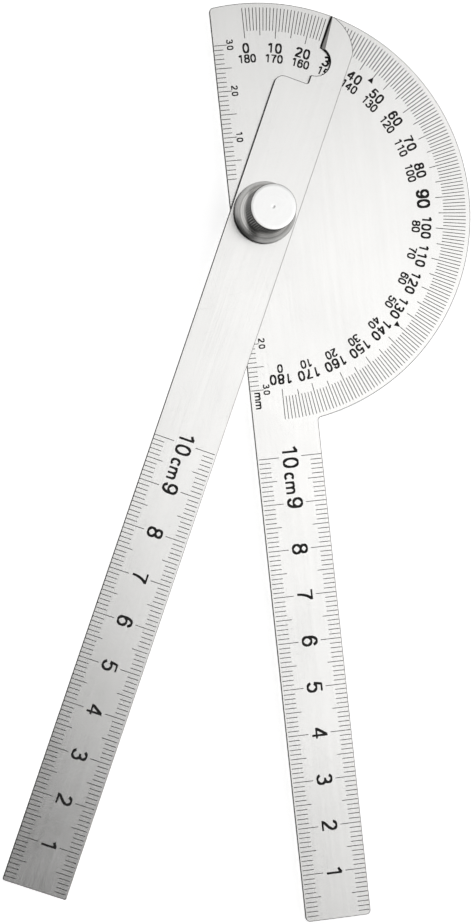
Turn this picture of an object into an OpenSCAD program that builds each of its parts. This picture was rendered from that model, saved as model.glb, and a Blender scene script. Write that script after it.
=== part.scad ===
// Angle finder: a half-round scale plate with a fixed rule, a swinging arm and a thumb nut.
// Origin on the pivot axis, at the underside of the stud's head. +Z is up through the nut,
// +Y points at the zero mark, the fixed rule runs along -Y and the half disc lies on +X.

/* [Scale plate] */
// Radius of the half disc, from the pivot to its rim
rim_r = 45.7; // [42:0.1:60]
// Width of the fixed rule; the disc's straight edge runs on from the rule's left edge
rule_w = 14.3; // [12:0.1:18]
// Length of the fixed rule, from the pivot to its end
rule_l = 153; // [110:1:220]
// Thickness of the plate and its rule
plate_t = 1; // [0.6:0.1:2]
// Corner radius where the rim meets the straight edge
plate_corner_r = 1; // [0.3:0.1:3]
// Corner radius at the end of the fixed rule
rule_corner_r = 1; // [0.3:0.1:3]
// Inside radius where the rim runs into the fixed rule
root_fillet_r = 0.8; // [0.3:0.1:3]

/* [Swing arm] */
// Width of the arm
arm_w = 14.3; // [12:0.1:18]
// Length of the arm, from the pivot to its end
arm_l = 153; // [110:1:220]
// Thickness of the arm
arm_t = 1; // [0.6:0.1:2]
// Corner radius at the end of the arm
arm_corner_r = 0.4; // [0.2:0.1:3]
// Reading that the pointer stands at, in degrees from +Y towards +X
arm_angle = 25; // [0:1:180]
// Distance from the arm's shoulder out to the rim
shoulder_drop = 16; // [15:0.25:20]
// Corner radius of the shoulder
shoulder_r = 2; // [0.5:0.25:4]
// Height of the step between the shoulder and the reading notch
step_h = 2.1; // [1:0.1:3]
// Radius of the fillet at the foot of the step
step_r = 0.5; // [0.3:0.1:0.9]
// Radius of the half-round reading notch
notch_r = 3.2; // [2:0.1:4]
// Gap between the pointer's tip and the rim
tip_gap = 0.2; // [0:0.1:1]
// Width of the flat at the pointer's tip
tip_w = 0.3; // [0.2:0.05:1]
// Height of the curved side that runs from the arm's edge to the tip
nose_h = 6.2; // [5:0.1:9]
// Radius of that curved side
nose_r = 9.4; // [9:0.1:20]
// Width of the bevel on the pointer's reading edge, beside the notch
bevel_w = 1.1; // [0.5:0.1:2]
// Width of the bevel at the tip
bevel_tip_w = 0.35; // [0.2:0.05:0.45]
// Thickness left under the bevel at the reading edge, beside the notch
bevel_land = 0.25; // [0.1:0.05:0.4]

/* [Pivot stud] */
// Diameter of the flat head at the back
head_d = 11; // [10:0.5:16]
// Thickness of the head
head_h = 1.2; // [0.8:0.1:3]
// Width of the bevel round the head's lower edge
head_bevel = 0.4; // [0.1:0.1:0.6]
// Width across the flats of the square neck that stops the stud from turning
neck_af = 6.2; // [6.1:0.1:7]
// Diameter of the round journal that the arm turns on
journal_d = 6; // [5:0.1:6]
// How far the journal stops short of the arm's upper face, so that the nut can clamp the arm
journal_short = 0.15; // [0.05:0.05:0.4]
// Outer diameter of the thread
thread_d = 4; // [3:0.5:4.5]
// Pitch of the thread
thread_pitch = 0.7; // [0.5:0.1:1]
// Room left above the thread's end in the nut's blind bore
thread_end_gap = 2; // [0.5:0.1:4]
// Bevel at the end of the thread
thread_bevel = 0.5; // [0.2:0.1:0.8]

/* [Clamp washer] */
// Outer diameter of the washer
washer_d = 11; // [9:0.5:13]
// Thickness of the washer
washer_t = 0.4; // [0.2:0.1:1]

/* [Thumb nut] */
// Diameter of the flange
flange_d = 13.4; // [12.5:0.1:18]
// Height of the flange's upright edge
flange_edge_h = 0.8; // [0.4:0.1:2]
// Height of the hollow flare between the flange's edge and the grip
flare_h = 3.4; // [2.5:0.1:5]
// Radius of the flare's hollow curve
flare_r = 6; // [5:0.5:12]
// Diameter of the knurled grip
grip_d = 10; // [9:0.1:11]
// Length of the knurled grip
grip_l = 7.4; // [6:0.1:12]
// Depth of the groove under the grip
groove_d = 0.4; // [0.2:0.1:0.6]
// Height of the groove under the grip
groove_h = 0.4; // [0.2:0.1:0.8]
// Number of teeth round the grip
knurl_n = 60; // [40:1:72]
// Depth of the knurl
knurl_depth = 0.18; // [0.1:0.02:0.26]
// Bevel round the grip's upper edge
grip_bevel = 0.2; // [0.2:0.05:0.8]
// Radius of the centre mark on the nut's top
centre_r = 0.16; // [0.1:0.02:0.5]
// Depth of the centre mark
centre_h = 0.06; // [0.05:0.01:0.3]
// Metal left above the nut's blind bore
crown_t = 1.6; // [1:0.1:3]

/* [Fits] */
// Gap between faces that slide over each other
face_gap = 0.05; // [0.02:0.01:0.1]
// Radial clearance of the arm on its journal
journal_clear = 0.05; // [0.02:0.01:0.1]
// Clearance on each side of the square neck
neck_clear = 0.05; // [0.02:0.01:0.1]
// Radial clearance between the thread and the nut
thread_clear = 0.05; // [0.02:0.01:0.1]
// Radial clearance between the thread and the washer
washer_clear = 0.15; // [0.05:0.01:0.3]

/* [Hidden] */
$fn = 96;

// Overlap that lets a cutter run clear of the face it cuts
over = 1;

// Heights of the stack, from the head's underside upwards
plate_z = head_h;
plate_top = plate_z + plate_t;
arm_z = plate_top + face_gap;
arm_top = arm_z + arm_t;
journal_top = arm_top - journal_short;
washer_z = arm_top + face_gap;
washer_top = washer_z + washer_t;
nut_z = washer_top + face_gap;

// Scale plate
half_rule = rule_w / 2;

// Swing arm: heights along its own +Y, with the pivot at zero
half_arm = arm_w / 2;
tip_y = rim_r - tip_gap;
nose_y = tip_y - nose_h;
shoulder_y = rim_r - shoulder_drop;
step_top = shoulder_y + step_h;
notch_y = step_top + notch_r;
notch_top = notch_y + notch_r;

// Stud
head_r = head_d / 2;
thread_r = thread_d / 2;
// Depth of a 60 degree thread for its pitch
thread_depth = 0.6 * thread_pitch;

// Thumb nut: heights above its own underside
flange_r = flange_d / 2;
flange_bevel = flange_edge_h / 4;
grip_r = grip_d / 2;
neck_r = grip_r - groove_d;
groove_z = flange_edge_h + flare_h;
grip_z = groove_z + groove_h;
nut_h = grip_z + grip_l;
bore_r = thread_r + thread_clear;
bore_h = nut_h - crown_t;

// Thread: from the journal up into the nut
thread_l = nut_z + bore_h - thread_end_gap - journal_top;
thread_turns = floor((thread_l - thread_bevel) / thread_pitch) - 1;

// Centre of the arc of radius r from p to q, on the right of the way from p to q
function arc_centre(p, q, r) =
    let (d = q - p, c = norm(d), rise = sqrt(r * r - c * c / 4))
    (p + q) / 2 + rise / c * [d[1], -d[0]];

// Waste outside a rounded corner; the corner lies at the origin and its metal towards -X and -Y
module corner_waste(r) {
    translate([-r, -r])
        difference() {
            square(r + over);
            circle(r);
        }
}

// Region between a small circle and the two edges that it touches at a and b
module tangent_region(corner, a, b, centre, r) {
    difference() {
        polygon([corner, a, centre, b]);
        translate(centre) circle(r);
    }
}

// Waste at the plate's corner, where the rim runs into the straight edge
module plate_corner_waste() {
    inner = rim_r - plate_corner_r;
    cx = plate_corner_r - half_rule;
    centre = [cx, sqrt(inner * inner - cx * cx)];
    corner_y = sqrt(rim_r * rim_r - half_rule * half_rule);
    tangent_region([-half_rule - over, corner_y + over], [-half_rule - over, centre[1]],
                   centre * (rim_r + over) / inner, centre, plate_corner_r);
}

// Metal in the inside corner between the rim and the fixed rule
module root_fillet() {
    outer = rim_r + root_fillet_r;
    cx = half_rule + root_fillet_r;
    centre = [cx, -sqrt(outer * outer - cx * cx)];
    corner_y = -sqrt(rim_r * rim_r - half_rule * half_rule);
    tangent_region([half_rule - root_fillet_r, corner_y + root_fillet_r],
                   [half_rule - root_fillet_r, centre[1]],
                   centre * (rim_r - root_fillet_r) / outer, centre, root_fillet_r);
}

module plate_outline() {
    difference() {
        union() {
            difference() {
                circle(rim_r, $fn = 180);
                translate([-half_rule - 2 * rim_r, -2 * rim_r]) square([2 * rim_r, 4 * rim_r]);
            }
            translate([-half_rule, -rule_l]) square([rule_w, rule_l]);
            root_fillet();
        }
        plate_corner_waste();
        for (side = [0, 1])
            mirror([side, 0])
                translate([half_rule, -rule_l]) mirror([0, 1]) corner_waste(rule_corner_r);
    }
}

module protractor_plate() {
    hole = neck_af + 2 * neck_clear;
    color("gainsboro")
        translate([0, 0, plate_z])
            linear_extrude(plate_t)
                difference() {
                    plate_outline();
                    square(hole, center = true);
                }
}

// Pointer: reading edge on the arm's centre line, curved side on its right
module pointer_outline() {
    translate([0, shoulder_y - over]) square([half_arm, nose_y - shoulder_y + over]);
    intersection() {
        translate([0, nose_y - over]) square([half_arm, nose_h + over]);
        translate(arc_centre([tip_w, tip_y], [half_arm, nose_y], nose_r)) circle(nose_r);
    }
}

module arm_outline() {
    difference() {
        union() {
            translate([-half_arm, -arm_l]) square([arm_w, arm_l + shoulder_y]);
            pointer_outline();
            // Fillet metal at the foot of the step
            translate([-step_r, shoulder_y])
                difference() {
                    translate([0, -over]) square([step_r + over, step_r + over]);
                    translate([0, step_r]) circle(step_r);
                }
        }
        translate([0, notch_y]) circle(notch_r);
        translate([-half_arm, shoulder_y]) mirror([1, 0]) corner_waste(shoulder_r);
        for (side = [0, 1])
            mirror([side, 0])
                translate([half_arm, -arm_l]) mirror([0, 1]) corner_waste(arm_corner_r);
    }
}

// Waste above the bevel, which thins the reading edge; its upper line runs from the notch to the tip
module bevel_waste() {
    run = tip_y - notch_top;
    turn = atan2(bevel_w - bevel_tip_w, run);
    slope = atan2(arm_t - bevel_land, bevel_w * cos(turn));
    reach = 2 * bevel_w + over;
    translate([bevel_w, notch_top, arm_top])
        rotate([0, 0, turn])
            rotate([0, -slope, 0])
                translate([-reach, -notch_r, 0])
                    cube([reach, run + notch_r + over, reach]);
}

module swing_arm() {
    color("lightgray")
        rotate([0, 0, -arm_angle])
            difference() {
                translate([0, 0, arm_z]) linear_extrude(arm_t) arm_outline();
                translate([0, 0, arm_z - over])
                    cylinder(r = journal_d / 2 + journal_clear, h = arm_t + 2 * over);
                intersection() {
                    bevel_waste();
                    translate([-over, notch_y, arm_z - over])
                        cube([half_arm, rim_r, arm_t + 2 * over]);
                }
            }
}

// Ring grooves at the thread's pitch stand for its helix
module thread_profile() {
    root_r = thread_r - thread_depth;
    flank = thread_pitch / 2;
    polygon(concat(
        [[0, 0], [root_r, 0], [root_r, flank]],
        [for (i = [1 : thread_turns], k = [0, 1])
            k == 0 ? [thread_r, i * thread_pitch] : [root_r, i * thread_pitch + flank]],
        [[thread_r - thread_bevel, thread_l], [0, thread_l]]
    ));
}

module pivot_stud() {
    color("silver") {
        rotate_extrude()
            polygon([[0, 0], [head_r - head_bevel, 0], [head_r, head_bevel], [head_r, head_h],
                     [0, head_h]]);
        translate([-neck_af / 2, -neck_af / 2, head_h]) cube([neck_af, neck_af, plate_t]);
        translate([0, 0, plate_top]) cylinder(d = journal_d, h = journal_top - plate_top);
        translate([0, 0, journal_top]) rotate_extrude() thread_profile();
    }
}

module clamp_washer() {
    color("darkgray")
        translate([0, 0, washer_z])
            difference() {
                cylinder(d = washer_d, h = washer_t);
                translate([0, 0, -over])
                    cylinder(r = thread_r + washer_clear, h = washer_t + 2 * over);
            }
}

// Flange with its hollow flare, up to the groove under the grip
module nut_foot() {
    edge = [flange_r - flange_bevel, flange_edge_h];
    neck = [neck_r, groove_z];
    rotate_extrude() {
        polygon([[0, 0], [flange_r - flange_bevel, 0], [flange_r, flange_bevel],
                 [flange_r, flange_edge_h - flange_bevel], edge, [0, flange_edge_h]]);
        difference() {
            polygon([[0, flange_edge_h], edge, neck, [0, groove_z]]);
            translate(arc_centre(edge, neck, flare_r)) circle(flare_r, $fn = 128);
        }
        translate([0, groove_z]) square([neck_r, groove_h]);
    }
}

module knurl_outline() {
    step = 360 / knurl_n;
    polygon([for (i = [0 : knurl_n - 1], k = [0, 1])
        let (r = grip_r - k * knurl_depth, a = (i + k / 2) * step)
        r * [cos(a), sin(a)]]);
}

module nut_grip() {
    translate([0, 0, grip_z])
        intersection() {
            linear_extrude(grip_l) knurl_outline();
            rotate_extrude()
                polygon([[0, 0], [grip_r - knurl_depth, 0], [grip_r + over, knurl_depth + over],
                         [grip_r + over, grip_l - grip_bevel - over],
                         [grip_r - grip_bevel, grip_l], [centre_r, grip_l],
                         [0, grip_l - centre_h]]);
        }
}

module thumb_nut() {
    color("whitesmoke")
        translate([0, 0, nut_z])
            difference() {
                union() {
                    nut_foot();
                    nut_grip();
                }
                translate([0, 0, -over]) cylinder(r = bore_r, h = bore_h + over);
            }
}

protractor_plate();
pivot_stud();
swing_arm();
clamp_washer();
thumb_nut();
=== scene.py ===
"""Looks of an angle finder: two satin steel blades with printed scales, clamped by a knurled thumb nut."""

import math

import bmesh
import bpy
from mathutils import Matrix, Vector


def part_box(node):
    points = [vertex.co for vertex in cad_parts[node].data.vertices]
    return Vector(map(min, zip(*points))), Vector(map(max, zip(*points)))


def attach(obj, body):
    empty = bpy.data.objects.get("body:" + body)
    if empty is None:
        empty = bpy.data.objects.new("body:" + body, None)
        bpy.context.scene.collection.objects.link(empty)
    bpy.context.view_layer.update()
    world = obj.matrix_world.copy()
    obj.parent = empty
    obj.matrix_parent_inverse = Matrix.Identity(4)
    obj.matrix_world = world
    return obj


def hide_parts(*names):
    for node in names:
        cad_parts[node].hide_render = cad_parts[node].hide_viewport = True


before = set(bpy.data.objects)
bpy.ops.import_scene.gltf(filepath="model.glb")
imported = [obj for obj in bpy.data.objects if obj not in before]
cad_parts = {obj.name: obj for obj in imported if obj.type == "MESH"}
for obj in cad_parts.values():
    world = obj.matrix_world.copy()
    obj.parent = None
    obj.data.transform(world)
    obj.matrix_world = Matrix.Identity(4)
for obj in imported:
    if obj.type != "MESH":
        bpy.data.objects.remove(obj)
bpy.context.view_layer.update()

MM = 0.001
DEG = math.pi / 180

# The frame's own sizes, in millimetres
PLATE_LOW, PLATE_HIGH = (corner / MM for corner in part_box("protractor_plate"))
ARM_LOW, ARM_HIGH = (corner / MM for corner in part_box("swing_arm"))
NUT_LOW, NUT_HIGH = (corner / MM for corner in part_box("thumb_nut"))
HALF_RULE = -PLATE_LOW.x
RIM_R = PLATE_HIGH.x
RULE_L = -PLATE_LOW.y
GRIP_TOP = NUT_HIGH.z
FLANGE_R = NUT_HIGH.x

# Scale plate, in millimetres
PLATE_CORNER_R = 1.0
RULE_CORNER_R = 1.0
ROOT_FILLET_R = 0.8
NECK_HOLE = 6.3

# Swing arm, in millimetres along its own +Y
ARM_TURN = -25 * DEG
HALF_ARM = 7.15
ARM_L = 153.0
ARM_CORNER_R = 0.4
JOURNAL_HOLE_R = 3.05
SHOULDER_DROP = 16.0
SHOULDER_Y = RIM_R - SHOULDER_DROP
SHOULDER_R = 2.0
STEP_H = 2.1
STEP_R = 0.5
NOTCH_R = 3.2
NOTCH_Y = SHOULDER_Y + STEP_H + NOTCH_R
TIP_DROP = 0.2
TIP_Y = RIM_R - TIP_DROP
TIP_W = 0.3
NOSE_L = 6.2
NOSE_Y = TIP_Y - NOSE_L
NOSE_R = 9.4
BEVEL_W = 1.1
BEVEL_TIP_W = 0.35
BEVEL_LAND = 0.25

# Both sheets: rounding of their edges, and the slot numbers of their finishes
EDGE_ROUND = 0.14
# The SIDE, EDGE and GROUND finishes carry painted shade: darkened cut sides, near-black rounded edges and
# a near-black band on the bevel
FACE, SIDE, EDGE, GROUND = range(4)
# How level a face lies, from 0 to 1: over FLAT on a sheet's two faces and under UPRIGHT on its sides.
# Large slopes, over SLOPING and LARGE_AREA in square millimetres, are the bevel and the long edges
FLAT = 0.98
UPRIGHT = 0.2
SLOPING = 0.5
LARGE_AREA = 1.0

# Thumb nut, in millimetres from its underside up, and the slot numbers of its finishes
FLANGE_EDGE_H = 0.8
FLANGE_ROUND = 0.2
FLARE_H = 3.4
FLARE_R = 6.0
GROOVE_H = 0.4
GROOVE_D = 0.4
GRIP_R = 5.0
GRIP_BEVEL = 0.2
KNURL_TEETH = 60
KNURL_DEPTH = 0.18
KNURL_CLEAR = 0.1
KNURL_RINGS = 7
BORE_R = 2.05
CROWN_T = 1.6
TOP_RINGS = (4.2, 3.2, 2.2, 1.2, 0.6)
CENTRE_R = 0.1
CENTRE_H = 0.025
# ROUNDED takes a near-black finish as painted shade on the rounded edges and the groove wall; FLARE and
# KNURL hold painted shade too
TURNED, FLARE, KNURL, ROUNDED = range(4)

# Printed marks, in millimetres
MARK_RISE = 0.02
MARK_SINK = 0.02
LINE_W = 0.15
# How far each print sits off the steel it is on
DIAL_PRINT = (-0.05, -0.05)
RULE_PRINT = (0.1, 0.1)
ARM_PRINT = (-0.17, 0.05)

# Ticks: length of the short ones, of every fifth and of every tenth. The dial's reach out to DIAL_R,
# the others begin an inset away from their edge
DIAL_TICKS = (5.0, 6.05, 6.6)
DIAL_R = 44.7
RULE_TICKS = (2.45, 3.45, 4.4)
RULE_INSET = 0.3
EDGE_TICKS = (1.95, 3.4, 2.9)
EDGE_INSET = 0.2
# Zero points of the two halves of the straight edge's scale
EDGE_ZERO = {1: 6.95, -1: -7.95}

# Numbers on the dial: radius of the ring and height
OUTER_RING = (36.0, 2.1)
OUTER_SPREAD = 1.07
INNER_RING = (33.7, 1.75)
RIGHT_ANGLE = (35.4, 2.75)
# Numbers and unit beside the straight edge
EDGE_NUMBER_X = -3.45
EDGE_NUMBER_H = 1.35
EDGE_SPREAD = 1.28
EDGE_UNIT_AT = (-5.6, -40.2)
EDGE_UNIT_H = 1.2
# Numbers and unit along a blade, the unit's place counted from the blade's end
RULE_NUMBER_X = 0.05
RULE_NUMBER_H = 3.37
RULE_UNIT_H = 1.92
RULE_UNIT_Y = 94.3

# Points closer than this are one, in millimetres: anywhere, and in a sheet's rounded edge
MERGE = 0.0001
SHEET_MERGE = 0.001


# ---------------------------------------------------------------- nodes written as expressions


class Wire:
    """An output of a node. Arithmetic on it adds Math nodes to the same tree."""

    def __init__(self, graph, socket):
        self.graph = graph
        self.socket = socket

    def maths(self, operation, *values):
        return self.graph.add("ShaderNodeMath", {"operation": operation}, dict(enumerate(values)))

    def __add__(self, other):
        return self.maths("ADD", self, other)

    def __radd__(self, other):
        return self.maths("ADD", other, self)

    def __sub__(self, other):
        return self.maths("SUBTRACT", self, other)

    def __rsub__(self, other):
        return self.maths("SUBTRACT", other, self)

    def __mul__(self, other):
        return self.maths("MULTIPLY", self, other)

    def __rmul__(self, other):
        return self.maths("MULTIPLY", other, self)

    def __truediv__(self, other):
        return self.maths("DIVIDE", self, other)

    def __pow__(self, other):
        return self.maths("POWER", self, other)

    def __mod__(self, other):
        return self.maths("MODULO", self, other)


def reach(x, y):
    """Length of a flat vector."""
    return (x * x + y * y) ** 0.5


def around(noise, span):
    """A noise's swing about zero, span wide."""
    return (noise - 0.5) * span


class Graph:
    """A node tree that is written out node by node."""

    def __init__(self, tree):
        self.tree = tree

    def add(self, kind, settings=None, inputs=None, output=0):
        """Adds a node: its settings first, then the values or links of its sockets."""
        node = self.tree.nodes.new(kind)
        for name, value in (settings or {}).items():
            setattr(node, name, value)
        for key, value in (inputs or {}).items():
            self.join(value, node.inputs[key])
        return Wire(self, node.outputs[output]) if node.outputs else None

    def join(self, value, socket):
        if isinstance(value, Wire):
            self.tree.links.new(value.socket, socket)
        else:
            socket.default_value = value

    def ramp(self, value, low, high, start=0.0, end=1.0):
        """Smooth step from start to end as value goes from low to high."""
        settings = {"interpolation_type": "SMOOTHSTEP"}
        places = {"Value": value, "From Min": low, "From Max": high, "To Min": start, "To Max": end}
        return self.add("ShaderNodeMapRange", settings, places)

    def blend(self, factor, first, second):
        """Mixes two colours."""
        settings = {"data_type": "RGBA", "clamp_factor": True}
        return self.add("ShaderNodeMix", settings, {0: factor, 6: first, 7: second}, 2)

    def vector(self, x, y, z):
        return self.add("ShaderNodeCombineXYZ", {}, {0: x, 1: y, 2: z})

    def outputs(self, wire):
        """All outputs of the node that a wire comes from."""
        return [Wire(self, output) for output in wire.socket.node.outputs]

    def split(self, vector):
        return self.outputs(self.add("ShaderNodeSeparateXYZ", {}, {0: vector}))


class Finish(Graph):
    """A material on the object, with patterns in object coordinates."""

    def __init__(self, name, **constants):
        self.material = bpy.data.materials.new(name)
        self.material.use_nodes = True
        super().__init__(self.material.node_tree)
        self.shader = self.tree.nodes["Principled BSDF"]
        for socket, value in constants.items():
            self.shader.inputs[socket.replace("_", " ")].default_value = value
        self.place = self.add("ShaderNodeTexCoord", output="Object")

    def stretched(self, size, turn=0.0, shift=(0.0, 0.0, 0.0)):
        """Object coordinates in a grid turned by turn about Z, with cells of the given size in mm."""
        places = {
            "Vector": self.place,
            "Location": shift,
            "Rotation": (0.0, 0.0, turn),
            "Scale": tuple(MM * edge for edge in size),
        }
        return self.add("ShaderNodeMapping", {"vector_type": "TEXTURE"}, places)

    def noise_at(self, vector, detail=2.0, roughness=0.5):
        places = {"Vector": vector, "Scale": 1.0, "Detail": detail, "Roughness": roughness}
        return self.add("ShaderNodeTexNoise", {}, places)

    def noise(self, size, turn=0.0, shift=(0.0, 0.0, 0.0), detail=2.0, roughness=0.5):
        """Noise with cells of the given size in mm."""
        return self.noise_at(self.stretched(size, turn, shift), detail, roughness)

    def from_axis(self):
        """Distance from the pivot's axis, and height."""
        x, y, z = self.split(self.place)
        return reach(x, y), z

    def rings(self, pitch):
        """Turning marks: noise that is the same all the way round the pivot's axis."""
        radius, height = self.from_axis()
        return self.noise_at(self.vector(radius / (pitch * MM), height / (pitch * MM), 0.0))

    def bump(self, height, depth):
        """Relief of the given depth in mm."""
        return self.add("ShaderNodeBump", {}, {"Height": height, "Distance": depth * MM}, "Normal")

    def surface(self, **links):
        for name, value in links.items():
            self.join(value, self.shader.inputs[name.replace("_", " ")])
        return self.material


# ---------------------------------------------------------------- finishes


def tint(red, green, blue):
    """An opaque colour."""
    return (red, green, blue, 1.0)


# Near black: the print, and the painted shade of the rounded edges, the bevel's band and the knurl's
# grooves
NEAR_BLACK = tint(0.012, 0.0115, 0.011)


def hairlines(finish, size, turn, shift):
    """Thin scratches, as the rare peaks of a stretched noise."""
    return finish.ramp(finish.noise(size, turn, shift, detail=1.0), 0.70, 0.76)


def satin_steel(name, turn):
    """Satin sheet: fine grain along the blade, soft clouds and a few hairlines."""
    dull, clean, scratched = tint(0.79, 0.785, 0.77), tint(0.885, 0.88, 0.868), tint(0.60, 0.60, 0.59)
    finish = Finish(name, Metallic=1.0)
    grain = finish.noise((0.11, 14, 0.11), turn, detail=3.0, roughness=0.65)
    streaks = finish.noise((0.9, 60, 0.9), turn, (0.3, 0.1, 0.0))
    clouds = finish.noise((7, 11, 7), turn, detail=3.0, roughness=0.6)
    handling = finish.noise((19, 23, 19), turn, (0.2, 0.4, 0.0))
    scratches = hairlines(finish, (0.10, 9, 1), turn + 38 * DEG, (0.01, 0.02, 0.0))
    scratches = scratches + hairlines(finish, (0.09, 7, 1), turn - 63 * DEG, (0.05, 0.03, 0.0))
    tone = 0.5 + around(grain, 0.55) + around(streaks, 0.5) + around(clouds, 0.9)
    relief = grain + streaks * 0.6 - scratches * 0.25
    return finish.surface(
        Base_Color=finish.blend(scratches * 0.05, finish.blend(tone, dull, clean), scratched),
        Roughness=0.22 + around(grain, 0.10) + around(clouds, 0.05) + around(handling, 0.06),
        Normal=finish.bump(relief, 0.004),
    )


def cut_edge(name, turn, dark, bright):
    """The sheet's cut side: its own duller finish, darkened further as painted shade, and drawn in lines
    along the thickness.
    """
    finish = Finish(name, Metallic=1.0)
    lines = finish.noise((0.16, 0.16, 3), turn)
    patches = finish.noise((2.5, 2.5, 0.7), turn)
    return finish.surface(
        Base_Color=finish.blend(lines * 0.5 + patches * 0.5, dark, bright),
        Roughness=0.34 + patches * 0.16,
        Normal=finish.bump(lines, 0.01),
    )


def dark_edge():
    """The finely rounded edges of the sheets, painted near black as shade so they read as dark outlines,
    darker than their faces and a little lighter in spots.
    """
    finish = Finish("dark_edge", Specular_IOR_Level=0.3)
    lightening = finish.noise((1.4, 1.4, 0.3), detail=3.0, roughness=0.6)
    return finish.surface(
        Base_Color=finish.blend(finish.ramp(lightening, 0.5, 0.8), NEAR_BLACK, tint(0.07, 0.069, 0.065)),
        Roughness=0.4 + lightening * 0.2,
        Normal=finish.bump(lightening, 0.003),
    )


def ground_bevel():
    """The arm's bevel and long edges: a near-black band of painted shadow as far as the reading line, grey
    from grinding right of it.
    """
    dull, clean = tint(0.20, 0.197, 0.19), tint(0.62, 0.61, 0.59)
    finish = Finish("ground_bevel", Metallic=1.0)
    lines = finish.noise((0.16, 2.5, 0.16), ARM_TURN)
    patches = finish.noise((0.9, 2.5, 0.9), ARM_TURN)
    across, _, _ = finish.split(finish.stretched((1, 1, 1), ARM_TURN))
    # Painted shadow: this mask is 0, near black, within 0.24 mm across from the reading line, and 1, grey,
    # past 0.5 mm
    out_of_shadow = finish.ramp(across + lines * 0.12, 0.24, 0.50)
    grey = finish.blend(lines * 0.5 + patches * 0.5, dull, clean)
    return finish.surface(
        Base_Color=finish.blend(out_of_shadow, NEAR_BLACK, grey),
        Roughness=0.36 + patches * 0.14,
        Normal=finish.bump(lines, 0.008),
    )


def printed_black():
    """Black marking, a little worn."""
    finish = Finish("printed_black", Specular_IOR_Level=0.25)
    wear = finish.noise((0.35, 0.35, 0.35), detail=3.0, roughness=0.7)
    fade = finish.noise((6, 6, 6), detail=1.0)
    faded = finish.ramp(wear * 0.7 + fade * 0.3, 0.45, 0.75)
    return finish.surface(
        Base_Color=finish.blend(faded, NEAR_BLACK, tint(0.055, 0.053, 0.05)),
        Roughness=0.45 + wear * 0.2,
        Normal=finish.bump(wear, 0.003),
    )


def turned_steel(name, dark, bright, roughness=0.22, pitch=0.12):
    """Turned metal with concentric tool marks between the two tones given; on the nut's rounded edges
    these are near black, as painted shade.
    """
    finish = Finish(name, Metallic=1.0)
    rings = finish.rings(pitch)
    bands = finish.rings(pitch * 6)
    clouds = finish.noise((1.6, 1.6, 1.6))
    tone = rings * 0.5 + bands * 0.3 + clouds * 0.2
    return finish.surface(
        Base_Color=finish.blend(finish.ramp(tone, 0.3, 0.7), dark, bright),
        Roughness=roughness + around(rings, 0.12) + around(clouds, 0.06),
        Normal=finish.bump(rings + bands, 0.003),
    )


def flare_steel():
    """The nut's hollow flare: tool bands, darker than the nut's top and darkening towards the groove under
    the grip as painted shade, with a near-black painted shadow at the neck.
    """
    low_bright, high_bright = tint(0.74, 0.735, 0.72), tint(0.52, 0.515, 0.50)
    low_dark, high_dark = tint(0.33, 0.325, 0.315), tint(0.22, 0.216, 0.208)
    finish = Finish("flare_steel", Metallic=1.0)
    rings = finish.rings(0.10)
    bands = finish.rings(0.55)
    _, height = finish.from_axis()
    foot, span = (NUT_LOW.z + FLANGE_EDGE_H) * MM, FLARE_H * MM
    # Painted shade: the flare darkens from its foot up towards the neck under the grip
    depth = finish.ramp(height, foot, foot + span)
    bright = finish.blend(depth, low_bright, high_bright)
    dark = finish.blend(depth, low_dark, high_dark)
    colour = finish.blend(finish.ramp(bands * 0.6 + rings * 0.4, 0.38, 0.62), dark, bright)
    # Painted shadow: a near-black band where the flare meets the groove under the grip
    neck = finish.ramp(height, foot + 0.76 * span, foot + 0.84 * span)
    return finish.surface(
        Base_Color=finish.blend(neck, colour, tint(0.03, 0.0295, 0.028)),
        Roughness=0.20 + rings * 0.14,
        Normal=finish.bump(rings + bands, 0.006),
    )


def knurl_steel():
    """The grip: near-black grooves as painted shade, and bright crests that are partly worn metal and
    partly a painted highlight, brightest on the side towards -Y.
    """
    sheen_full_y, sheen_end_y, dull = -4.5, 1.0, 0.26
    finish = Finish("knurl_steel", Metallic=1.0)
    radius, _ = finish.from_axis()
    _, along, _ = finish.split(finish.place)
    # Painted shade: the grooves between the crests are near black
    crest = finish.ramp(radius, (GRIP_R - KNURL_DEPTH) * MM, GRIP_R * MM)
    grit = finish.noise((0.12, 0.12, 0.5))
    # Painted highlight: the crests are brightest on the side towards -Y, down to about a quarter of that
    # from Y = 1 mm on
    lightening = finish.ramp(along, sheen_full_y * MM, sheen_end_y * MM, 1.0, dull)
    shine = crest ** 3 * lightening * (0.7 + grit * 0.6)
    return finish.surface(
        Base_Color=finish.blend(shine, NEAR_BLACK, tint(0.94, 0.93, 0.91)),
        Roughness=0.42 - crest * 0.14,
        Normal=finish.bump(grit, 0.006),
    )


SATIN_PLATE = satin_steel("satin_plate", 0.0)
SATIN_ARM = satin_steel("satin_arm", ARM_TURN)
# Painted shade: both cut sides are darker than their own finish would be, the arm's nearly black for the
# shade in its gap over the plate
CUT_EDGE_AND_SHADE = cut_edge("cut_edge", 0.0, tint(0.08, 0.078, 0.074), tint(0.22, 0.216, 0.208))
CUT_EDGE_ARM_AND_SHADE = cut_edge("cut_edge_arm", ARM_TURN, tint(0.02, 0.0195, 0.018), tint(0.08, 0.078, 0.073))
# Painted shade: the sheets' rounded edges are near black so that they show as dark outlines
EDGE_LINE_SHADE = dark_edge()
GROUND_BEVEL_SHADOWED = ground_bevel()
PRINTED_BLACK = printed_black()
NUT_FACE = turned_steel("nut_face", tint(0.90, 0.90, 0.89), tint(0.985, 0.985, 0.98), 0.24, 0.16)
NUT_FLARE_SHADED = flare_steel()
NUT_KNURL_PAINTED_LIGHT = knurl_steel()
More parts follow.
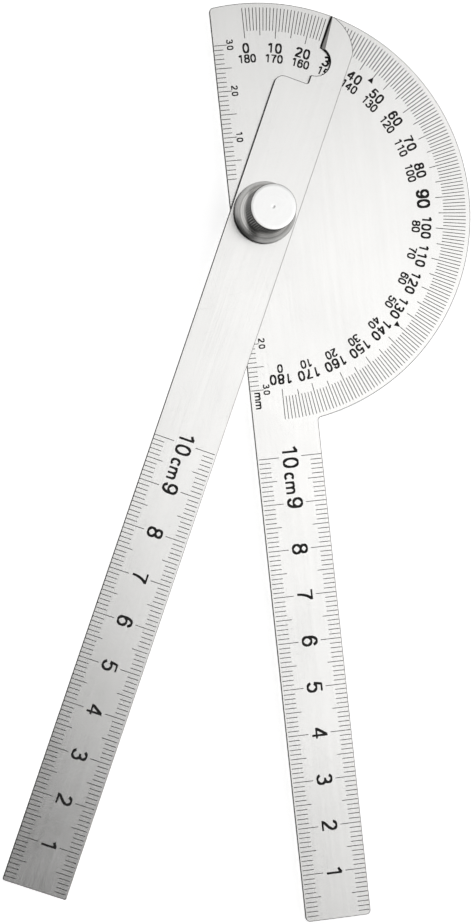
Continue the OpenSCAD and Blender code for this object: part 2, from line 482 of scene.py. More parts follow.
# Painted shade: the nut's rounded edges and groove wall are near black so that they read as dark outlines
NUT_EDGE_PAINTED_SHADE = turned_steel("nut_edge", tint(0.03, 0.0295, 0.028), tint(0.11, 0.108, 0.103), 0.36)
STUD_STEEL = turned_steel("stud_steel", tint(0.50, 0.495, 0.48), tint(0.68, 0.675, 0.66))
WASHER_STEEL = turned_steel("washer_steel", tint(0.42, 0.415, 0.40), tint(0.60, 0.595, 0.58), 0.34)


# ---------------------------------------------------------------- meshes


def dress(mesh, materials):
    """Gives a mesh its materials; each face keeps its own slot number."""
    slots = [face.material_index for face in mesh.polygons]
    mesh.materials.clear()
    for material in materials:
        mesh.materials.append(material)
    for face, slot in zip(mesh.polygons, slots):
        face.material_index = slot


def new_piece(name, mesh, body, materials, replaced=()):
    """Puts a finished mesh on the stage as a piece that rides on a body."""
    mesh.name = name
    dress(mesh, materials)
    piece = bpy.data.objects.new(name, mesh)
    bpy.context.scene.collection.objects.link(piece)
    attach(piece, body)
    if replaced:
        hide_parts(*replaced)


def baked(holder):
    """The evaluated mesh of an object, which is then deleted."""
    bpy.context.view_layer.update()
    graph = bpy.context.evaluated_depsgraph_get()
    mesh = bpy.data.meshes.new_from_object(holder.evaluated_get(graph))
    bpy.data.objects.remove(holder)
    return mesh


def holder_of(data):
    holder = bpy.data.objects.new("holder", data)
    bpy.context.scene.collection.objects.link(holder)
    return holder


def cleaned(mesh, merge=MERGE):
    """Merges doubles and points every face outwards."""
    work = bmesh.new()
    work.from_mesh(mesh)
    bmesh.ops.remove_doubles(work, verts=work.verts, dist=merge * MM)
    bmesh.ops.recalc_face_normals(work, faces=work.faces)
    work.to_mesh(mesh)
    work.free()
    return mesh


def arc(centre, radius, start, end, step=4.0):
    """Points of an arc in degrees; end below start runs clockwise."""
    count = max(2, math.ceil(abs(end - start) / step))
    angles = [(start + (end - start) * i / count) * DEG for i in range(count + 1)]
    return [(centre[0] + radius * math.cos(a), centre[1] + radius * math.sin(a)) for a in angles]


def bearing(point):
    """Direction of a point from the pivot, in degrees."""
    return math.atan2(point[1], point[0]) / DEG


def plate_outline():
    """Half disc with the fixed rule below it, anticlockwise."""
    fillet_x = HALF_RULE + ROOT_FILLET_R
    fillet = (fillet_x, -math.sqrt((RIM_R + ROOT_FILLET_R) ** 2 - fillet_x**2))
    corner_x = PLATE_CORNER_R - HALF_RULE
    corner = (corner_x, math.sqrt((RIM_R - PLATE_CORNER_R) ** 2 - corner_x**2))
    end_x, end_y = HALF_RULE - RULE_CORNER_R, RULE_CORNER_R - RULE_L
    return [
        *arc((-end_x, end_y), RULE_CORNER_R, 180, 270, 12),
        *arc((end_x, end_y), RULE_CORNER_R, 270, 360, 12),
        *arc(fillet, ROOT_FILLET_R, 180, bearing((-fillet[0], -fillet[1])), 12),
        *arc((0, 0), RIM_R, bearing(fillet), bearing(corner), 1.5)[1:],
        *arc(corner, PLATE_CORNER_R, bearing(corner), 180, 12)[1:],
    ]


def arc_centre(start, end, radius):
    """Centre of the arc of the given radius from start to end, on the left of the way."""
    run = Vector(end) - Vector(start)
    rise = math.sqrt(radius**2 - run.length_squared / 4)
    return (Vector(start) + Vector(end)) / 2 + Vector((-run.y, run.x)) * rise / run.length


def sweep(centre, start, end):
    """Directions of an arc's two ends from its centre, the short way round, in degrees."""
    first, last = (bearing(Vector(point) - centre) for point in (start, end))
    return first, last + 360 * round((first - last) / 360)


def arm_outline():
    """Blade with its shoulder, reading notch and pointer, anticlockwise."""
    end_x, end_y = HALF_ARM - ARM_CORNER_R, ARM_CORNER_R - ARM_L
    nose, tip = (HALF_ARM, NOSE_Y), (TIP_W, TIP_Y)
    centre = arc_centre(nose, tip, NOSE_R)
    return [
        *arc((-end_x, end_y), ARM_CORNER_R, 180, 270, 18),
        *arc((end_x, end_y), ARM_CORNER_R, 270, 360, 18),
        *arc(centre, NOSE_R, *sweep(centre, nose, tip), 3),
        (0, TIP_Y),
        *arc((0, NOTCH_Y), NOTCH_R, 90, -90, 6),
        *arc((-STEP_R, SHOULDER_Y + STEP_R), STEP_R, 0, -90, 18),
        *arc((SHOULDER_R - HALF_ARM, SHOULDER_Y - SHOULDER_R), SHOULDER_R, 90, 180, 9),
    ]


def sheet(outline, hole, low, high):
    """A sheet between two heights, with finely rounded edges."""
    curve = bpy.data.curves.new("outline", "CURVE")
    curve.dimensions = "2D"
    curve.fill_mode = "BOTH"
    curve.extrude = ((high - low) / 2 - EDGE_ROUND) * MM
    curve.bevel_depth = EDGE_ROUND * MM
    curve.bevel_resolution = 2
    curve.offset = -EDGE_ROUND * MM
    for loop in (outline, hole[::-1]):
        spline = curve.splines.new("POLY")
        spline.points.add(len(loop) - 1)
        spline.use_cyclic_u = True
        for point, (x, y) in zip(spline.points, loop):
            point.co = (x * MM, y * MM, 0.0, 1.0)
    mesh = cleaned(baked(holder_of(curve)), SHEET_MERGE)
    mesh.transform(Matrix.Translation((0, 0, (low + high) / 2 * MM)))
    return mesh


def solid(corners, faces):
    """A closed mesh from corners in mm."""
    mesh = bpy.data.meshes.new("solid")
    mesh.from_pydata([Vector(corner) * MM for corner in corners], [], faces)
    return cleaned(mesh)


def bevel_cutter():
    """The waste above the sloping bevel on the pointer's reading edge."""
    notch_top = NOTCH_Y + NOTCH_R
    narrowing = (BEVEL_W - BEVEL_TIP_W) / (TIP_Y - notch_top)
    slope = (ARM_HIGH.z - ARM_LOW.z - BEVEL_LAND) / BEVEL_W
    clear = 1.0
    corners = []
    for y in (NOTCH_Y, TIP_Y + clear):
        edge = BEVEL_W - (y - notch_top) * narrowing
        foot = ARM_HIGH.z - (edge + clear) * slope
        top = ARM_HIGH.z + clear
        corners += [(edge, y, ARM_HIGH.z), (-clear, y, foot), (-clear, y, top), (edge, y, top)]
    sides = [(i, (i + 1) % 4, (i + 1) % 4 + 4, i + 4) for i in range(4)]
    return solid(corners, [(3, 2, 1, 0), (4, 5, 6, 7), *sides])


def cut(mesh, waste):
    """Takes one closed mesh away from another."""
    holder, cutter = holder_of(mesh), holder_of(waste)
    modifier = holder.modifiers.new("cut", "BOOLEAN")
    modifier.operation = "DIFFERENCE"
    modifier.solver = "EXACT"
    modifier.object = cutter
    result = baked(holder)
    bpy.data.objects.remove(cutter)
    return result


def side_slot(face, large_slope):
    """Slot of a sheet's face by how level it lies."""
    level = abs(face.normal.z)
    if level > FLAT:
        return FACE
    if level > SLOPING and face.area > LARGE_AREA * MM * MM:
        return large_slope
    return SIDE if level < UPRIGHT else EDGE


def paint_sides(mesh, large_slope=EDGE):
    """Spreads a sheet's finishes; its large slopes take the slot given."""
    for face in mesh.polygons:
        face.use_smooth = False
        face.material_index = side_slot(face, large_slope)


def make_plate():
    half = NECK_HOLE / 2
    hole = [(-half, -half), (half, -half), (half, half), (-half, half)]
    mesh = sheet(plate_outline(), hole, PLATE_LOW.z, PLATE_HIGH.z)
    paint_sides(mesh)
    finishes = [SATIN_PLATE, CUT_EDGE_AND_SHADE, EDGE_LINE_SHADE]
    new_piece("scale_plate_sheet", mesh, "scale_plate", finishes, ["protractor_plate"])


def make_arm():
    hole = arc((0, 0), JOURNAL_HOLE_R, 0, 360, 6)[:-1]
    mesh = cut(sheet(arm_outline(), hole, ARM_LOW.z, ARM_HIGH.z), bevel_cutter())
    paint_sides(mesh, GROUND)
    mesh.transform(Matrix.Rotation(ARM_TURN, 4, "Z"))
    finishes = [SATIN_ARM, CUT_EDGE_ARM_AND_SHADE, EDGE_LINE_SHADE, GROUND_BEVEL_SHADOWED]
    new_piece("swing_arm_blade", mesh, "arm", finishes, ["swing_arm"])


# ---------------------------------------------------------------- the thumb nut


def flange_runs(foot, neck):
    """The flange's rounded edge, then the hollow flare up to the neck."""
    inner_r = FLANGE_R - FLANGE_ROUND
    lip = (inner_r, foot + FLANGE_EDGE_H)
    shoulder = (inner_r, lip[1] - FLANGE_ROUND)
    centre = arc_centre(neck, lip, FLARE_R)
    edge = [
        *arc((inner_r, foot + FLANGE_ROUND), FLANGE_ROUND, -90, 0, 22.5),
        *arc(shoulder, FLANGE_ROUND, 0, 45, 22.5),
    ]
    flare = [
        *arc(shoulder, FLANGE_ROUND, 45, 90, 22.5)[1:],
        *arc(centre, FLARE_R, *sweep(centre, lip, neck), 2.5)[1:],
    ]
    return [(edge, ROUNDED), (flare, FLARE)]


def grip_runs(foot):
    """The grip with rings a millimetre apart, its rounded rim, and its top with a turning centre."""
    inner_r, rim_z = GRIP_R - GRIP_BEVEL, GRIP_TOP - GRIP_BEVEL
    rings = [(GRIP_R, foot + KNURL_DEPTH + i) for i in range(KNURL_RINGS)]
    grip = [(GRIP_R - KNURL_DEPTH, foot), *rings, (GRIP_R, rim_z)]
    rim = arc((inner_r, rim_z), GRIP_BEVEL, 0, 75, 15)[1:]
    top = [(r, GRIP_TOP) for r in (inner_r, *TOP_RINGS, CENTRE_R)]
    return [(grip, KNURL), (rim, ROUNDED), ([*top, (0, GRIP_TOP - CENTRE_H)], TURNED)]


def nut_profile():
    """Half section of the nut from its blind bore round to the middle of its top, as (points, finish)."""
    foot, ceiling = NUT_LOW.z, GRIP_TOP - CROWN_T
    neck = (GRIP_R - GROOVE_D, foot + FLANGE_EDGE_H + FLARE_H)
    groove_top = (neck[0], neck[1] + GROOVE_H)
    bore = [(0, ceiling), (BORE_R, ceiling), (BORE_R, foot)]
    return [
        (bore, TURNED),
        *flange_runs(foot, neck),
        ([groove_top], ROUNDED),
        *grip_runs(groove_top[1]),
    ]


def revolve(runs, segments):
    """A closed turned body; each run of the profile is (points, finish)."""
    work = bmesh.new()
    angles = [2 * math.pi * i / segments for i in range(segments)]
    rings, finishes = [], []
    for points, finish in runs:
        for r, z in points:
            places = [(r * math.cos(a), r * math.sin(a), z) for a in (angles if r > 0 else angles[:1])]
            rings.append([work.verts.new(Vector(place) * MM) for place in places])
            finishes.append(finish)
    for below, above, finish in zip(rings, rings[1:], finishes[1:]):
        for i in range(segments):
            j = (i + 1) % segments
            low = [below[k % len(below)] for k in (i, j)]
            high = [above[k % len(above)] for k in (j, i)]
            face = work.faces.new(list(dict.fromkeys(low + high)))
            face.material_index = finish
            face.smooth = True
    bmesh.ops.recalc_face_normals(work, faces=work.faces)
    mesh = bpy.data.meshes.new("turned")
    work.to_mesh(mesh)
    work.free()
    return mesh


class Recipe(Graph):
    """A Geometry Nodes tree with named inputs."""

    KINDS = {
        "number": "NodeSocketFloat",
        "count": "NodeSocketInt",
        "mesh": "NodeSocketGeometry",
        "material": "NodeSocketMaterial",
    }

    def __init__(self, name, **inputs):
        super().__init__(bpy.data.node_groups.new(name, "GeometryNodeTree"))
        self.names = {}
        for label, kind in inputs.items():
            item = self.tree.interface.new_socket(label, in_out="INPUT", socket_type=self.KINDS[kind])
            self.names[label] = item.identifier
        self.tree.interface.new_socket("result", in_out="OUTPUT", socket_type="NodeSocketGeometry")
        self.group = self.tree.nodes.new("NodeGroupInput")

    def given(self, label):
        return Wire(self, next(s for s in self.group.outputs if s.name == label))

    def end(self, geometry):
        """Realizes what was instanced and gives it the material."""
        real = self.add("GeometryNodeRealizeInstances", {}, {"Geometry": geometry})
        if "finish" in self.names:
            places = {"Geometry": real, "Material": self.given("finish")}
            real = self.add("GeometryNodeSetMaterial", {}, places)
        self.tree.links.new(real.socket, self.tree.nodes.new("NodeGroupOutput").inputs[0])

    def run(self, mesh=None, **values):
        """Runs the tree on a mesh and returns the plain result."""
        holder = holder_of(mesh or bpy.data.meshes.new("empty"))
        modifier = holder.modifiers.new(self.tree.name, "NODES")
        modifier.node_group = self.tree
        for label, value in values.items():
            modifier[self.names[label]] = value
        return baked(holder)


def knurl_recipe():
    """Presses straight teeth into the grip, running out at both ends."""
    tree = Recipe("knurl", body="mesh", teeth="count", depth="number", foot="number", top="number",
                  radius="number", run_out="number", centre="number")
    x, y, z = tree.split(tree.add("GeometryNodeInputPosition"))
    radius = reach(x, y)
    angle = x.maths("ARCTAN2", y, x)
    tooth = x.maths("PINGPONG", angle * tree.given("teeth") / (2 * math.pi), 0.5) * 2
    rise = tree.ramp(z, tree.given("foot"), tree.given("foot") + tree.given("run_out"))
    fall = tree.ramp(z, tree.given("top") - tree.given("run_out"), tree.given("top"), 1.0, 0.0)
    outside = x.maths("GREATER_THAN", radius, tree.given("radius"))
    off_centre = radius.maths("MAXIMUM", radius, tree.given("centre"))
    press = tooth * tree.given("depth") * rise * fall * outside / off_centre
    offset = tree.vector(x * press * -1, y * press * -1, 0.0)
    places = {"Geometry": tree.given("body"), "Offset": offset}
    tree.end(tree.add("GeometryNodeSetPosition", {}, places))
    return tree


def make_nut():
    steps_per_tooth = 8
    mesh = knurl_recipe().run(
        revolve(nut_profile(), KNURL_TEETH * steps_per_tooth),
        teeth=KNURL_TEETH,
        depth=KNURL_DEPTH * MM,
        foot=(NUT_LOW.z + FLANGE_EDGE_H + FLARE_H + GROOVE_H) * MM,
        top=GRIP_TOP * MM,
        radius=(GRIP_R - GRIP_BEVEL - KNURL_CLEAR) * MM,
        run_out=GRIP_BEVEL * MM,
        centre=CENTRE_R * MM,
    )
    mesh.set_sharp_from_angle(angle=40 * DEG)
    finishes = [NUT_FACE, NUT_FLARE_SHADED, NUT_KNURL_PAINTED_LIGHT, NUT_EDGE_PAINTED_SHADE]
    new_piece("knurled_nut", mesh, "nut", finishes, ["thumb_nut"])


# ---------------------------------------------------------------- ticks


def tick_lengths(tree, number):
    """Short, middle and long ticks: every one, every fifth, every tenth."""
    fifth = number.maths("COMPARE", number % 5, 0.0, 0.1)
    tenth = number.maths("COMPARE", number % 10, 0.0, 0.1)
    short = tree.given("short")
    return short + (tree.given("middle") - short) * (fifth - tenth) + (tree.given("long") - short) * tenth


def tick_box(tree):
    """A unit block that hangs from its top edge along -Y and stands on the height given."""
    block = tree.add("GeometryNodeMeshCube", {}, {"Size": (1.0, 1.0, 1.0)})
    return tree.add("GeometryNodeTransform", {}, {"Geometry": block, "Translation": (0.0, -0.5, 0.5)})


def place_ticks(tree, points, length, turn):
    size = tree.vector(tree.given("line"), length, tree.given("thickness"))
    places = {"Points": points, "Instance": tick_box(tree), "Rotation": turn, "Scale": size}
    tree.end(tree.add("GeometryNodeInstanceOnPoints", {}, places))


# What every tick recipe takes
TICK_INPUTS = {
    "count": "count",
    "height": "number",
    "thickness": "number",
    "short": "number",
    "middle": "number",
    "long": "number",
    "line": "number",
    "finish": "material",
}


def dial_recipe():
    """Ticks round the pivot, one for each degree, clockwise from +Y."""
    tree = Recipe("dial_ticks", radius="number", **TICK_INPUTS)
    index = tree.add("GeometryNodeInputIndex")
    angle = index * DEG
    x = angle.maths("SINE", angle) * tree.given("radius")
    y = angle.maths("COSINE", angle) * tree.given("radius")
    places = {"Count": tree.given("count"), "Position": tree.vector(x, y, tree.given("height"))}
    points = tree.add("GeometryNodePoints", {}, places)
    place_ticks(tree, points, tick_lengths(tree, index), tree.vector(0.0, 0.0, angle * -1))
    return tree


def row_recipe():
    """Ticks in a row along Y, a step apart, counted from the zero point given."""
    tree = Recipe("row_ticks", edge="number", zero="number", step="number", side="number", **TICK_INPUTS)
    number = tree.add("GeometryNodeInputIndex") + 1
    y = tree.given("zero") + number * tree.given("step")
    place = tree.vector(tree.given("edge"), y, tree.given("height"))
    points = tree.add("GeometryNodePoints", {}, {"Count": tree.given("count"), "Position": place})
    turn = tree.vector(0.0, 0.0, tree.given("side") * (math.pi / 2))
    place_ticks(tree, points, tick_lengths(tree, number), turn)
    return tree


def mark_values(top, ticks):
    """Values for a tick recipe, for ticks printed on a face at the height top."""
    short, middle, long = ticks
    return {
        "height": (top - MARK_SINK) * MM,
        "thickness": (MARK_RISE + MARK_SINK) * MM,
        "short": short * MM,
        "middle": middle * MM,
        "long": long * MM,
        "line": LINE_W * MM,
        "finish": PRINTED_BLACK,
    }


def joined(parts):
    """One mesh from (mesh, transform) pairs."""
    work = bmesh.new()
    for mesh, transform in parts:
        copy = mesh.copy()
        copy.transform(transform)
        work.from_mesh(copy)
        bpy.data.meshes.remove(copy)
    result = bpy.data.meshes.new("joined")
    work.to_mesh(result)
    work.free()
    return result


HERE = Matrix.Identity(4)


def rule_rows(rows, half_width, length, top):
    """Centimetre scale of a blade, along both its edges, counted from its end."""
    values = mark_values(top, RULE_TICKS)
    sides = []
    for side in (1, -1):
        edge = side * (RULE_INSET - half_width) * MM
        mesh = rows.run(count=100, edge=edge, zero=-length * MM, step=MM, side=side, **values)
        sides.append((mesh, HERE))
    return joined(sides)


def edge_rows(rows):
    """Millimetre scale of the plate's straight edge, up and down from its two zero points."""
    values = mark_values(PLATE_HIGH.z, EDGE_TICKS)
    edge = (EDGE_INSET - HALF_RULE) * MM
    halves = []
    for way, zero in EDGE_ZERO.items():
        mesh = rows.run(count=30, edge=edge, zero=zero * MM, step=way * MM, side=1, **values)
        halves.append((mesh, HERE))
    return joined(halves)


# ---------------------------------------------------------------- numerals


def bend(cx, cy, rx, ry, start, end, power=1.0):
    """Points of an elliptic bend in degrees; a power under 1 squares it off."""
    count = max(3, math.ceil(abs(end - start) / 15))
    points = []
    for i in range(count + 1):
        angle = (start + (end - start) * i / count) * DEG
        c, s = math.cos(angle), math.sin(angle)
        x = cx + rx * math.copysign(abs(c) ** power, c)
        y = cy + ry * math.copysign(abs(s) ** power, s)
        points.append((x, y))
    return points


def loop(cx, cy, rx, ry, power=1.0):
    return bend(cx, cy, rx, ry, 0, 360, power)[:-1]


# Centre lines of the characters: digits in units of their height, letters of their x-height
SIX = [loop(0.385, 0.318, 0.268, 0.280), bend(0.400, 0.470, 0.283, 0.478, 32, 202)]
STROKES = {
    "0": [loop(0.384, 0.494, 0.263, 0.455, 0.9)],
    "1": [[(0.46, 0.0), (0.46, 1.0)], [(0.44, 0.965), (0.36, 0.885), (0.26, 0.825), (0.152, 0.78)]],
    "2": [
        bend(0.385, 0.715, 0.25, 0.2325, 172, -28)
        + [(0.50, 0.455), (0.33, 0.305), (0.19, 0.17), (0.13, 0.05)],
        [(0.05, 0.0565), (0.70, 0.0565)],
    ],
    "3": [
        bend(0.365, 0.737, 0.235, 0.211, 165, -90) + [(0.28, 0.526)],
        bend(0.375, 0.2925, 0.283, 0.2575, 100, -162),
    ],
    "4": [[(0.513, 0.0), (0.513, 1.0)], [(0.018, 0.295), (0.71, 0.295)], [(0.49, 0.95), (0.085, 0.32)]],
    "5": [
        [(0.150, 0.94), (0.66, 0.94)],
        [(0.205, 0.94), (0.122, 0.46)],
        bend(0.388, 0.32, 0.27, 0.284, 146, -165),
    ],
    "6": SIX,
    "7": [[(0.066, 0.94), (0.71, 0.94)], bend(0.95, 0.0, 0.62, 1.04, 180, 117)],
    "8": [loop(0.386, 0.745, 0.235, 0.2025), loop(0.387, 0.284, 0.268, 0.248)],
    "9": [[(0.772 - x, 0.988 - y) for x, y in stroke] for stroke in SIX],
    "c": [bend(0.51, 0.5, 0.35, 0.453, 42, 318)],
    "m": [
        [(0.212, 0.0), (0.212, 1.0)],
        bend(0.5075, 0.60, 0.2955, 0.35, 180, 0) + [(0.803, 0.0)],
        bend(1.0995, 0.60, 0.2955, 0.35, 180, 0) + [(1.395, 0.0)],
    ],
}
CLOSED = {"0": [0], "6": [0], "8": [0, 1], "9": [0]}
DIGIT_ADVANCE = 0.777
ADVANCE = {"c": 0.97, "m": 1.57}
# Widths of a stroke that runs up and of one that runs level, light for large numbers, bold for small
LIGHT_W = {"digit": (0.142, 0.122), "letter": (0.235, 0.195)}
BOLD_W = {"digit": (0.182, 0.158), "letter": (0.25, 0.21)}


def ribbon(work, points, closed, upright, level):
    """Adds a closed stroke of unit thickness along a centre line."""
    points = [Vector(point) for point in points]
    count = len(points)
    rims = []
    for i, point in enumerate(points):
        before = points[i - 1] if closed or i > 0 else point
        after = points[(i + 1) % count] if closed or i + 1 < count else point
        first = (point - before) if before != point else (after - point)
        second = (after - point) if after != point else first
        first.normalize()
        second.normalize()
        way = (first + second).normalized()
        half = (upright * abs(way.y) + level * abs(way.x)) / 2 / max(way.dot(first), 0.5)
        side = Vector((-way.y, way.x)) * half
        rims.append([(point + side).to_3d(), (point - side).to_3d()])
    up = Vector((0, 0, 1))
    rings = [[work.verts.new(v) for v in (left, right, right + up, left + up)] for left, right in rims]
    pairs = list(zip(rings, rings[1:] + rings[:1])) if closed else list(zip(rings, rings[1:]))
    for near, far in pairs:
        for k in range(4):
            work.faces.new([near[k], near[(k + 1) % 4], far[(k + 1) % 4], far[k]])
    if not closed:
        work.faces.new(rings[0])
        work.faces.new(rings[-1])


def fuse_recipe():
    """Joins strokes that cross into one solid."""
    tree = Recipe("fuse", body="mesh", finish="material")
    places = {"Mesh 2": tree.given("body"), "Self Intersection": True}
    tree.end(tree.add("GeometryNodeMeshBoolean", {"operation": "UNION", "solver": "EXACT"}, places))
    return tree


def glyph(character, weights, fuse):
    """A character as one solid, one unit high and one unit thick."""
    work = bmesh.new()
    upright, level = weights["letter" if character in ADVANCE else "digit"]
    for i, stroke in enumerate(STROKES[character]):
        ribbon(work, stroke, i in CLOSED.get(character, []), upright, level)
    bmesh.ops.recalc_face_normals(work, faces=work.faces)
    mesh = bpy.data.meshes.new("strokes")
    work.to_mesh(mesh)
    work.free()
    if len(STROKES[character]) > 1:
        mesh = fuse.run(mesh, finish=PRINTED_BLACK)
    return mesh


FUSE = fuse_recipe()
LIGHT = {character: glyph(character, LIGHT_W, FUSE) for character in STROKES}
BOLD = {character: glyph(character, BOLD_W, FUSE) for character in STROKES}


def label(text, centre, height, heading, top, style=BOLD, spread=1.0):
    """Solids of a short text, centred on a point. Its tops point along heading, in degrees from +X."""
    widths = [spread * ADVANCE.get(character, DIGIT_ADVANCE) for character in text]
    reading = Matrix.Rotation((heading - 90) * DEG, 4, "Z")
    lift = Matrix.Translation((centre[0] * MM, centre[1] * MM, (top - MARK_SINK) * MM))
    size = Matrix.Diagonal((height * MM, height * MM, (MARK_RISE + MARK_SINK) * MM, 1.0))
    parts = []
    start = -sum(widths) / 2
    for character, width in zip(text, widths):
        drift = Matrix.Translation((start + width * (1 - 1 / spread) / 2, -0.5, 0.0))
        parts.append((style[character], lift @ reading @ size @ drift))
        start += width
    return parts


def polar(radius, degrees):
    """A place on the dial: degrees run clockwise from +Y."""
    return radius * math.sin(degrees * DEG), radius * math.cos(degrees * DEG)


def dial_number(number, degrees, ring, spread=1.0):
    radius, height = ring
    return label(str(number), polar(radius, degrees), height, 90 - degrees, PLATE_HIGH.z, spread=spread)


def dial_labels():
    """Two rings of numbers, up and down; the right angle stands alone and larger."""
    parts = []
    for degrees in range(0, 181, 10):
        if degrees == 90:
            parts += dial_number(degrees, degrees, RIGHT_ANGLE)
        else:
            parts += dial_number(degrees, degrees, OUTER_RING, OUTER_SPREAD)
            parts += dial_number(180 - degrees, degrees, INNER_RING)
    return parts


def edge_labels():
    """Numbers beside the straight edge, tops towards the dial."""
    top = PLATE_HIGH.z
    parts = []
    for way, zero in EDGE_ZERO.items():
        for number in (10, 20, 30):
            place = (EDGE_NUMBER_X, zero + way * number)
            parts += label(str(number), place, EDGE_NUMBER_H, 0, top, spread=EDGE_SPREAD)
    return parts + label("mm", EDGE_UNIT_AT, EDGE_UNIT_H, 0, top)


def rule_labels(length, top):
    """Centimetre numbers along the middle of a blade, and their unit on the same base line."""
    parts = []
    for number in range(1, 11):
        place = (RULE_NUMBER_X, 10 * number - length)
        parts += label(str(number), place, RULE_NUMBER_H, 0, top, LIGHT)
    unit_place = (RULE_NUMBER_X - (RULE_NUMBER_H - RULE_UNIT_H) / 2, RULE_UNIT_Y - length)
    return parts + label("cm", unit_place, RULE_UNIT_H, 0, top, LIGHT)


def marker(degrees):
    """A small arrowhead under a main tick, pointing at the rim."""
    apex, base, half = 38.6, 37.3, 0.65
    low, high = PLATE_HIGH.z - MARK_SINK, PLATE_HIGH.z + MARK_RISE
    corners = [(x, y, z) for z in (low, high) for x, y in ((0, apex), (-half, base), (half, base))]
    mesh = solid(corners, [(2, 1, 0), (3, 4, 5), (0, 1, 4, 3), (1, 2, 5, 4), (2, 0, 3, 5)])
    return mesh, Matrix.Rotation(-degrees * DEG, 4, "Z")


def print_marks(name, mesh, body, place):
    mesh.transform(place)
    new_piece(name, mesh, body, [PRINTED_BLACK])


def moved(shift):
    return Matrix.Translation((shift[0] * MM, shift[1] * MM, 0.0))


def make_dial_marks():
    values = mark_values(PLATE_HIGH.z, DIAL_TICKS)
    ticks = dial_recipe().run(count=181, radius=DIAL_R * MM, **values)
    print_marks("degree_ticks", ticks, "scale_plate", moved(DIAL_PRINT))
    numbers = joined(dial_labels() + [marker(45), marker(135)])
    print_marks("dial_numbers", numbers, "scale_plate", moved(DIAL_PRINT))


def make_edge_marks(rows):
    print_marks("edge_ticks", edge_rows(rows), "scale_plate", HERE)
    print_marks("edge_numbers", joined(edge_labels()), "scale_plate", HERE)


def make_rule_marks(rows):
    place = moved(RULE_PRINT)
    ticks = rule_rows(rows, HALF_RULE, RULE_L, PLATE_HIGH.z)
    print_marks("fixed_rule_ticks", ticks, "scale_plate", place)
    print_marks("fixed_rule_numbers", joined(rule_labels(RULE_L, PLATE_HIGH.z)), "scale_plate", place)


def make_arm_marks(rows):
    place = Matrix.Rotation(ARM_TURN, 4, "Z") @ moved(ARM_PRINT)
    print_marks("swing_arm_ticks", rule_rows(rows, HALF_ARM, ARM_L, ARM_HIGH.z), "arm", place)
    print_marks("swing_arm_numbers", joined(rule_labels(ARM_L, ARM_HIGH.z)), "arm", place)


def finish_hidden_nodes():
    """The stud and the washer keep their own shape."""
    for node, material in (("pivot_stud", STUD_STEEL), ("clamp_washer", WASHER_STEEL)):
        dress(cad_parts[node].data, [material])


# ---------------------------------------------------------------- stage


def bare_material(name):
    """A material with no nodes yet, and its tree."""
    material = bpy.data.materials.new(name)
    material.use_nodes = True
    material.node_tree.nodes.clear()
    return material, Graph(material.node_tree)


def floor_white():
    """White paper that also glows to the camera and to the metal."""
    glow_strength = 0.62
    material, graph = bare_material("floor_white")
    rays = {ray.socket.name: ray for ray in graph.outputs(graph.add("ShaderNodeLightPath"))}
    seen = rays["Is Camera Ray"] + rays["Is Glossy Ray"] + rays["Is Transmission Ray"]
    glow = graph.add("ShaderNodeEmission", {}, {"Strength": seen * glow_strength})
    paper = graph.add("ShaderNodeBsdfDiffuse", {}, {"Color": tint(0.9, 0.9, 0.9)})
    both = graph.add("ShaderNodeAddShader", {}, {0: paper, 1: glow})
    graph.add("ShaderNodeOutputMaterial", {}, {"Surface": both})
    return material


def make_floor():
    """A wide white floor a hair under the tool."""
    radius, drop = 6.0, 0.05 * MM
    mesh = bpy.data.meshes.new("floor")
    work = bmesh.new()
    bmesh.ops.create_circle(work, cap_ends=True, segments=96, radius=radius)
    work.to_mesh(mesh)
    work.free()
    mesh.transform(Matrix.Translation((0, 0, -drop)))
    mesh.materials.append(floor_white())
    floor = holder_of(mesh)
    floor.name = "floor"


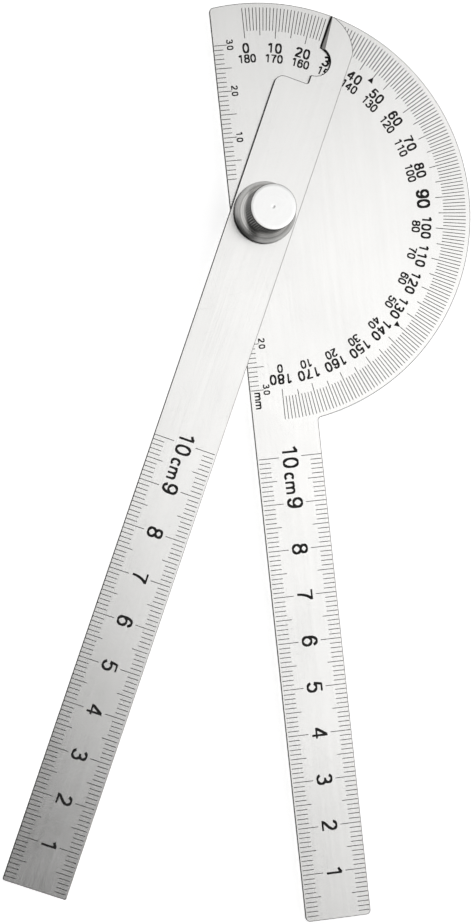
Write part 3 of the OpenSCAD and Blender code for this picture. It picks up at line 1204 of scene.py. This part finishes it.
def tent_level(graph):
    """Brightness of the tent by direction from the tool."""
    place = graph.add("ShaderNodeTexCoord", output="Object")
    x, y, z = graph.split(graph.add("ShaderNodeVectorMath", {"operation": "NORMALIZE"}, {0: place}))
    slant = reach(x, y)
    # The right side is bright: even walls, and overhead a panel that fades off along the tool
    walls = 0.8
    off_middle = y + 0.045
    panel = x.maths("MAXIMUM", 1.08 - off_middle * off_middle * 10, 0.3) * 1.4
    bright = walls + (panel - walls) * graph.ramp(z, 0.75, 0.93)
    # The left side is dim, darkest overhead, with a nearly black flag at lower left
    to_flag = (x * -0.82 + y * -0.57) / (slant + 0.01)
    flag = graph.ramp(to_flag, 0.70, 0.90) * graph.ramp(slant, 0.22, 0.40)
    dim = graph.ramp(z, 0.70, 0.93, 0.60, 0.06) * (1 - flag * 0.92)
    to_right = x * 0.92 + y * 0.386
    return dim + (bright - dim) * graph.ramp(to_right, 0.040, 0.078)


def tent_light():
    material, graph = bare_material("tent_light")
    light = graph.add("ShaderNodeEmission", {}, {"Strength": tent_level(graph)})
    graph.add("ShaderNodeOutputMaterial", {}, {"Surface": light})
    material.cycles.emission_sampling = "NONE"
    return material


def make_tent():
    """A light tent over the tool, open below and hidden from the camera."""
    radius, foot = 6.5, -1.0
    mesh = bpy.data.meshes.new("light_tent")
    work = bmesh.new()
    bmesh.ops.create_uvsphere(work, u_segments=64, v_segments=32, radius=radius)
    low = [v for v in work.verts if v.co.z < foot]
    bmesh.ops.delete(work, geom=low, context="VERTS")
    work.to_mesh(mesh)
    work.free()
    mesh.materials.append(tent_light())
    tent = holder_of(mesh)
    tent.name = "light_tent"
    tent.visible_camera = False
    tent.visible_shadow = False


def make_world():
    world = bpy.data.worlds.new("studio")
    world.use_nodes = True
    background = world.node_tree.nodes["Background"]
    background.inputs["Color"].default_value = tint(1.0, 1.0, 1.0)
    background.inputs["Strength"].default_value = 1.0
    bpy.context.scene.world = world


def make_camera():
    """A long lens almost straight above the tool, from its lower left."""
    at = Vector((-104.25, -56.9, 625.5)) * MM
    aim = Vector((-11.75, -52.8, 2.2)) * MM
    roll = -6.07 * DEG
    back = (at - aim).normalized()
    upright = (Vector((0, 1, 0)) - back * back.y).normalized()
    up = Matrix.Rotation(roll, 3, back) @ upright
    turn = Matrix((up.cross(back), up, back)).transposed().to_4x4()
    data = bpy.data.cameras.new("camera")
    data.lens = 114.0
    data.clip_start = 0.01
    camera = bpy.data.objects.new("camera", data)
    camera.matrix_world = Matrix.Translation(at) @ turn
    bpy.context.scene.collection.objects.link(camera)
    bpy.context.scene.camera = camera


make_camera()
make_world()
make_floor()
make_tent()
make_plate()
make_arm()
make_nut()
make_dial_marks()
ROWS = row_recipe()
make_edge_marks(ROWS)
make_rule_marks(ROWS)
make_arm_marks(ROWS)
finish_hidden_nodes()
bpy.context.scene.view_settings.view_transform = "Standard"
